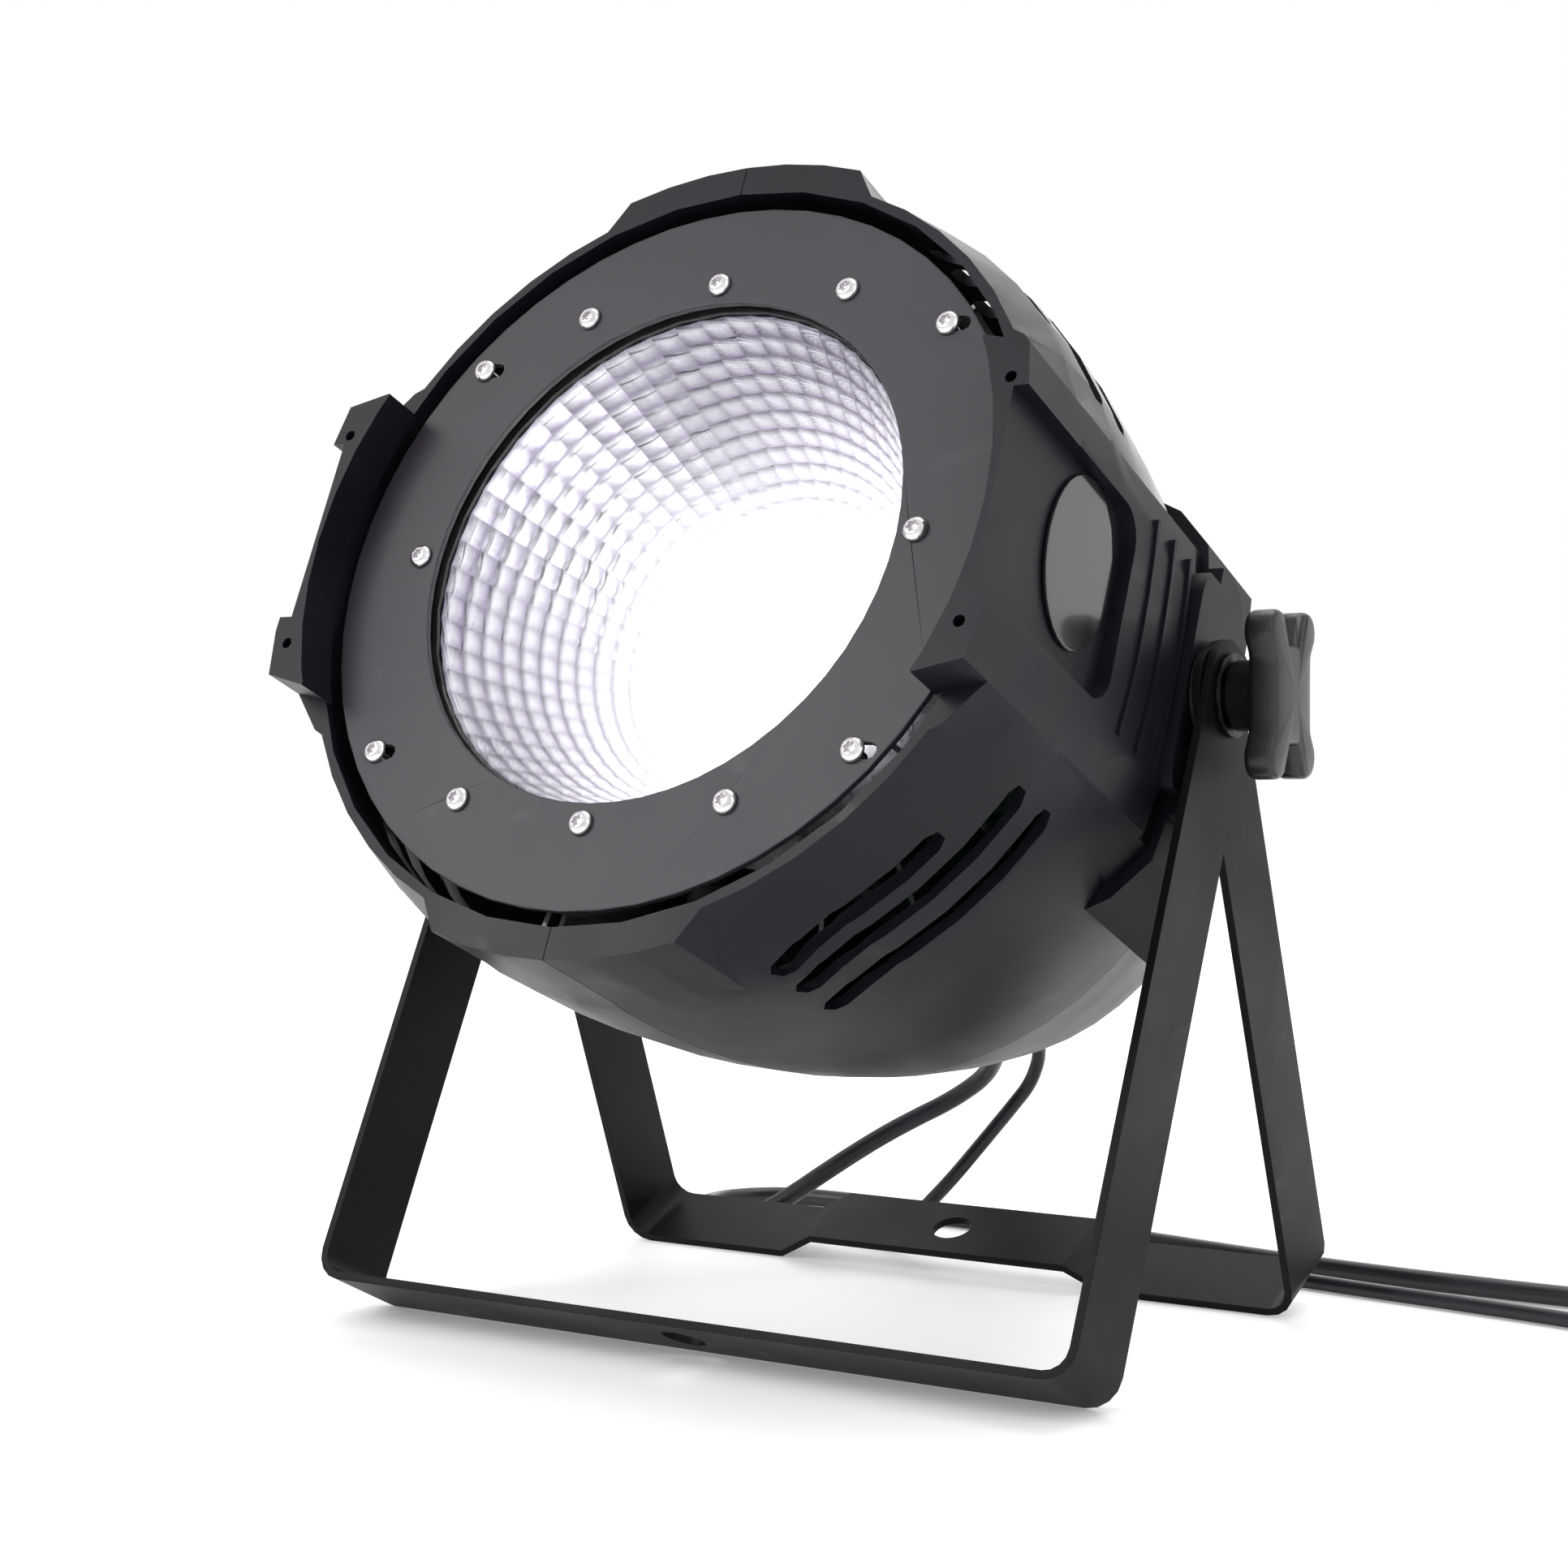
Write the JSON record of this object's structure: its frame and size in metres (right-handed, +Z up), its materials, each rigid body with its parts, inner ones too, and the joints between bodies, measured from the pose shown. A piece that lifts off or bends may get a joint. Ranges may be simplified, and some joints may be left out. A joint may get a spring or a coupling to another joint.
{
  "type": "par can light",
  "caption": "Black par can stage light with a round lens, a domed housing split down the middle, and two swinging U-shaped yokes clamped by lobed knobs, standing on the floor.",
  "frame": {"origin": "on the floor, straight below the pivot axis, midway between the yoke legs", "axes": "+Z up, +X along the pivot axis, and the lamp shines towards -Y with its beam tilted up"},
  "size_m": [0.496, 0.3487, 0.3395],
  "materials": {
    "paint": "satin black powder coat with a light grain",
    "satin_black": "satin black powder coat",
    "black_plastic": "satin black moulded nylon",
    "gloss_black": "gloss black",
    "rubber": "matt black rubber",
    "steel": "bright zinc-plated steel",
    "aluminium": "bare aluminium",
    "mirror": "bright vacuum-metallised facets",
    "glass": "clear flat glass",
    "board": "green circuit board",
    "emitter": "pale yellow phosphor disc"
  },
  "bodies": {
    "stand": {"front_yoke": "satin_black", "mains_lead": "rubber", "mains_lead_coil": "rubber", "mains_plug": "rubber", "signal_lead": "rubber", "signal_lead_coil": "rubber", "signal_plug": "steel"},
    "rear_yoke": {"rear_yoke": "satin_black"},
    "head": {"housing_left": "paint", "housing_right": "paint", "rear_cover": "paint", "front_plate": "satin_black", "fan_frame": "black_plastic", "badge_left": "gloss_black", "badge_right": "gloss_black", "display_window": "gloss_black", "lens_gasket": "rubber", "mains_gland": "rubber", "signal_gland": "rubber", "friction_disc_left": "rubber", "friction_disc_right": "rubber", "washer_left": "steel", "washer_right": "steel", "pivot_nut_left": "steel", "pivot_nut_right": "steel", "plate_screw_1": "steel", "plate_screw_2": "steel", "plate_screw_3": "steel", "plate_screw_4": "steel", "plate_screw_5": "steel", "plate_screw_6": "steel", "plate_screw_7": "steel", "plate_screw_8": "steel", "adjust_screw_1": "steel", "adjust_screw_2": "steel", "adjust_screw_3": "steel", "adjust_screw_4": "steel", "cover_screw_1": "steel", "cover_screw_2": "steel", "cover_screw_3": "steel", "cover_screw_4": "steel", "heat_sink": "aluminium", "cob_holder": "aluminium", "reflector": "mirror", "lens_glass": "glass", "cob_led": "emitter", "power_board": "board", "control_board": "board"},
    "fan_rotor": {"fan_rotor": "black_plastic"},
    "knob_left": {"knob_left": "black_plastic", "stud_left": "steel"},
    "knob_right": {"knob_right": "black_plastic", "stud_right": "steel"},
    "menu_button_1": {"menu_button_1": "black_plastic"},
    "menu_button_2": {"menu_button_2": "black_plastic"},
    "menu_button_3": {"menu_button_3": "black_plastic"},
    "menu_button_4": {"menu_button_4": "black_plastic"}
  },
  "joints": [
    {"name": "rear_yoke_swing", "type": "hinge", "parent": "stand", "child": "rear_yoke", "pos_m": [0, 0, 0.18638], "axis": [1, 0, 0], "range_deg": [-44, 40]},
    {"name": "head_tilt", "type": "hinge", "parent": "stand", "child": "head", "pos_m": [0, 0, 0.18638], "axis": [1, 0, 0], "range_deg": [-65, 110], "deforming": ["mains_lead", "signal_lead"]},
    {"name": "fan_spin", "type": "hinge", "parent": "head", "child": "fan_rotor", "pos_m": [0, 0.09936, 0.1642], "axis": [0, -0.9178, 0.3971], "continuous": true},
    {"name": "knob_left_turn", "type": "hinge", "parent": "head", "child": "knob_left", "pos_m": [-0.135, 0, 0.18638], "axis": [-1, 0, 0], "continuous": true},
    {"name": "knob_right_turn", "type": "hinge", "parent": "head", "child": "knob_right", "pos_m": [0.135, 0, 0.18638], "axis": [1, 0, 0], "continuous": true},
    {"name": "menu_button_1_press", "type": "slide", "parent": "head", "child": "menu_button_1", "axis": [0, -0.9178, 0.3971], "range_m": [0, 0.0009], "stiffness_N_per_m": 400},
    {"name": "menu_button_2_press", "type": "slide", "parent": "head", "child": "menu_button_2", "axis": [0, -0.9178, 0.3971], "range_m": [0, 0.0009], "stiffness_N_per_m": 400},
    {"name": "menu_button_3_press", "type": "slide", "parent": "head", "child": "menu_button_3", "axis": [0, -0.9178, 0.3971], "range_m": [0, 0.0009], "stiffness_N_per_m": 400},
    {"name": "menu_button_4_press", "type": "slide", "parent": "head", "child": "menu_button_4", "axis": [0, -0.9178, 0.3971], "range_m": [0, 0.0009], "stiffness_N_per_m": 400}
  ]
}
